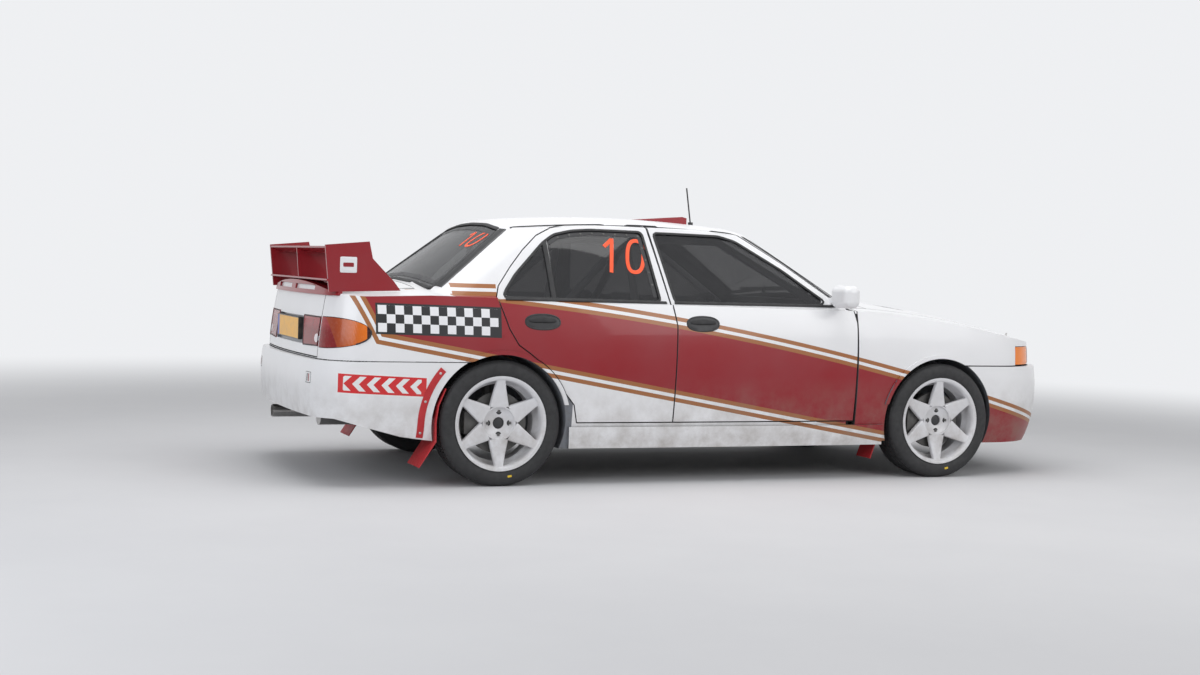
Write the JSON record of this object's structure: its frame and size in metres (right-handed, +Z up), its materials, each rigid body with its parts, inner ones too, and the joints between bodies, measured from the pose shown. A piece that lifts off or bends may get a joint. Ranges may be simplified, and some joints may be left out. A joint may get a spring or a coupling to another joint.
{
  "type": "rally car",
  "caption": "Four-door rally saloon with turning and steering wheels, opening doors, bonnet and boot lid, boot wing, bucket seats and roll cage.",
  "frame": {"origin": "on the ground under the middle of the car's length and width", "axes": "+X ahead, +Y to the car's left, +Z up"},
  "size_m": [4.3112, 1.92, 1.5406],
  "materials": {
    "paint_white": "gloss",
    "paint_red": "gloss",
    "glass": "clear, dark tint",
    "lamp_clear": "clear",
    "lamp_amber": "clear",
    "lamp_red": "clear",
    "black_plastic": "matt",
    "aerial_metal": "satin",
    "cage_paint": "satin",
    "seat_fabric": "woven",
    "engine_metal": "cast",
    "steel": "satin",
    "plate_yellow": "gloss",
    "tyre": "matt",
    "rim_white": "gloss"
  },
  "bodies": {
    "root": {"body_shell": "paint_white", "roof_frame": "paint_white", "rear_quarters": "paint_white", "rear_floor": "paint_white", "front_structure": "paint_white", "windscreen": "glass", "rear_window": "glass", "front_bumper": "paint_white", "rear_bumper": "paint_white", "front_wings": "paint_white", "side_skirts": "paint_white", "arch_lips": "paint_white", "headlamps": "lamp_clear", "indicators": "lamp_amber", "grille": "black_plastic", "tail_lamps": "lamp_red", "roof_scoop": "paint_red", "aerial": "aerial_metal", "roll_cage": "cage_paint", "seats": "seat_fabric", "dashboard": "black_plastic", "steering_wheel": "black_plastic", "engine_block": "engine_metal", "front_subframe": "steel", "rear_subframe": "steel", "rear_hub_carriers": "steel", "exhaust": "steel", "mud_flaps": "paint_red"},
    "door_front_left": {"front_door_left": "paint_white", "front_window_left": "glass", "mirror_left": "paint_white"},
    "door_front_right": {"front_door_right": "paint_white", "front_window_right": "glass", "mirror_right": "paint_white"},
    "door_rear_left": {"rear_door_left": "paint_white", "rear_window_left": "glass"},
    "door_rear_right": {"rear_door_right": "paint_white", "rear_window_right": "glass"},
    "bonnet": {"bonnet": "paint_white"},
    "boot": {"boot_lid": "paint_white", "boot_lamps": "lamp_red", "rear_wing": "paint_red", "number_plate": "plate_yellow"},
    "steering_left": {"knuckle_left": "steel"},
    "steering_right": {"knuckle_right": "steel"},
    "wheel_front_left": {"tyre_front_left": "tyre", "rim_front_left": "rim_white", "disc_hub_front_left": "steel"},
    "wheel_front_right": {"tyre_front_right": "tyre", "rim_front_right": "rim_white", "disc_hub_front_right": "steel"},
    "wheel_rear_left": {"tyre_rear_left": "tyre", "rim_rear_left": "rim_white", "disc_hub_rear_left": "steel"},
    "wheel_rear_right": {"tyre_rear_right": "tyre", "rim_rear_right": "rim_white", "disc_hub_rear_right": "steel"}
  },
  "joints": [
    {"name": "front_door_left_hinge", "type": "hinge", "parent": "root", "child": "door_front_left", "pos_m": [0.75, 0.836, 0.6], "axis": [0, 0, -1], "range_deg": [0, 65]},
    {"name": "rear_door_left_hinge", "type": "hinge", "parent": "root", "child": "door_rear_left", "pos_m": [-0.3, 0.836, 0.6], "axis": [0, 0, -1], "range_deg": [0, 62]},
    {"name": "front_door_right_hinge", "type": "hinge", "parent": "root", "child": "door_front_right", "pos_m": [0.75, -0.836, 0.6], "axis": [0, 0, 1], "range_deg": [0, 65]},
    {"name": "rear_door_right_hinge", "type": "hinge", "parent": "root", "child": "door_rear_right", "pos_m": [-0.3, -0.836, 0.6], "axis": [0, 0, 1], "range_deg": [0, 62]},
    {"name": "bonnet_hinge", "type": "hinge", "parent": "root", "child": "bonnet", "pos_m": [0.886, 0, 0.953], "axis": [0, -1, 0], "range_deg": [0, 60]},
    {"name": "boot_hinge", "type": "hinge", "parent": "root", "child": "boot", "pos_m": [-1.606, 0, 0.983], "axis": [0, 1, 0], "range_deg": [0, 60]},
    {"name": "steer_left", "type": "hinge", "parent": "root", "child": "steering_left", "pos_m": [1.29, 0.69, 0.19], "axis": [0, -0.2095, 0.9778], "range_deg": [-32, 32]},
    {"name": "steer_right", "type": "hinge", "parent": "root", "child": "steering_right", "pos_m": [1.29, -0.69, 0.19], "axis": [0, 0.2095, 0.9778], "range_deg": [-32, 32]},
    {"name": "wheel_front_left_spin", "type": "hinge", "parent": "steering_left", "child": "wheel_front_left", "pos_m": [1.29, 0.725, 0.308], "axis": [0, 1, 0], "continuous": true},
    {"name": "wheel_rear_left_spin", "type": "hinge", "parent": "root", "child": "wheel_rear_left", "pos_m": [-1.22, 0.725, 0.308], "axis": [0, 1, 0], "continuous": true},
    {"name": "wheel_front_right_spin", "type": "hinge", "parent": "steering_right", "child": "wheel_front_right", "pos_m": [1.29, -0.725, 0.308], "axis": [0, 1, 0], "continuous": true},
    {"name": "wheel_rear_right_spin", "type": "hinge", "parent": "root", "child": "wheel_rear_right", "pos_m": [-1.22, -0.725, 0.308], "axis": [0, 1, 0], "continuous": true}
  ],
  "couplings": [
    {"joint": "steer_right", "follows": "steer_left", "ratio": 1}
  ]
}
